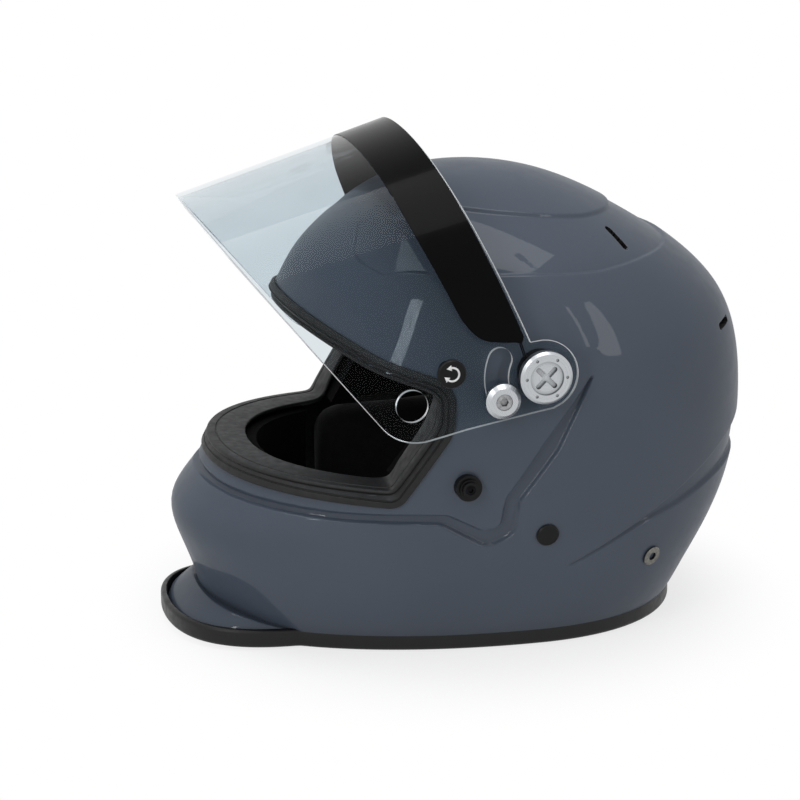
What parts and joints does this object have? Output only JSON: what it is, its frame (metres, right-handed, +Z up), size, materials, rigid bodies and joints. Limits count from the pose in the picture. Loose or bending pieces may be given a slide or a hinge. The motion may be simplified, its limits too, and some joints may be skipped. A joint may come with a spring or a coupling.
{
  "type": "auto racing helmet",
  "caption": "Full-face racing helmet with a raised clear shield, rubber-sealed eyeport, flared chin lip, foam and cloth liners, chin strap and threaded tether inserts.",
  "frame": {"origin": "middle of the helmet's overall box, on the plane that the rim stands on", "axes": "the helmet faces -X, its left side is -Y, and +Z is up"},
  "size_m": [0.3523, 0.2722, 0.2931],
  "materials": {
    "shell_paint": "gloss grey paint on moulded composite",
    "trim_rubber": "satin extruded rubber",
    "seal_rubber": "matt moulded rubber",
    "energy_foam": "moulded bead foam",
    "comfort_cloth": "brushed knitted cloth",
    "strap_webbing": "woven webbing",
    "bright_steel": "plated and brushed",
    "insert_steel": "turned stainless steel",
    "turned_aluminium": "turned and finely brushed",
    "black_plastic": "satin moulded plastic",
    "black_screw": "blackened steel",
    "clear_shield": "clear polished moulding",
    "black_film": "gloss film"
  },
  "bodies": {
    "helmet": {"outer_shell": "shell_paint", "bottom_trim": "trim_rubber", "eyeport_gasket": "seal_rubber", "impact_liner": "energy_foam", "chin_bar_liner": "energy_foam", "comfort_liner": "comfort_cloth", "neck_roll": "comfort_cloth", "cheek_pad_left": "comfort_cloth", "cheek_pad_right": "comfort_cloth", "chin_strap_left": "strap_webbing", "chin_strap_right": "strap_webbing", "stop_post_screws": "bright_steel", "strap_rivets": "bright_steel", "anchor_insert_left": "insert_steel", "anchor_insert_right": "insert_steel", "pivot_cap_left": "turned_aluminium", "pivot_cap_right": "turned_aluminium", "stop_post_left": "turned_aluminium", "stop_post_right": "turned_aluminium", "pivot_base_left": "black_plastic", "pivot_base_right": "black_plastic", "latch_post_left": "black_plastic", "latch_post_right": "black_plastic", "side_plug_left": "black_plastic", "side_plug_right": "black_plastic", "strap_snap": "black_plastic", "latch_post_screws": "black_screw"},
    "shield": {"shield": "clear_shield", "sun_strip": "black_film", "tear_off_nuts": "black_plastic"},
    "tear_off_left": {"tear_off_post_left": "black_plastic"},
    "tear_off_right": {"tear_off_post_right": "black_plastic"},
    "ring_outer": {"d_ring_outer": "bright_steel"},
    "ring_inner": {"d_ring_inner": "bright_steel"}
  },
  "joints": [
    {"name": "shield_swing", "type": "hinge", "parent": "helmet", "child": "shield", "pos_m": [0.019, 0, 0.172], "axis": [0, -1, 0], "range_deg": [0, 48]},
    {"name": "tear_off_turn_left", "type": "hinge", "parent": "shield", "child": "tear_off_left", "pos_m": [-0.03475, -0.13, 0.17791], "axis": [0, -1, 0], "range_deg": [0, 90]},
    {"name": "tear_off_turn_right", "type": "hinge", "parent": "shield", "child": "tear_off_right", "pos_m": [-0.03475, 0.13, 0.17791], "axis": [0, 1, 0], "range_deg": [0, 90]},
    {"name": "ring_outer_swing", "type": "hinge", "parent": "helmet", "child": "ring_outer", "pos_m": [0.02562, -0.065, 0.03], "axis": [1, 0, 0], "range_deg": [-50, 50]},
    {"name": "ring_inner_swing", "type": "hinge", "parent": "helmet", "child": "ring_inner", "pos_m": [0.02562, -0.059, 0.03], "axis": [1, 0, 0], "range_deg": [-50, 50]}
  ],
  "couplings": [
    {"joint": "ring_inner_swing", "follows": "ring_outer_swing", "ratio": 1}
  ]
}
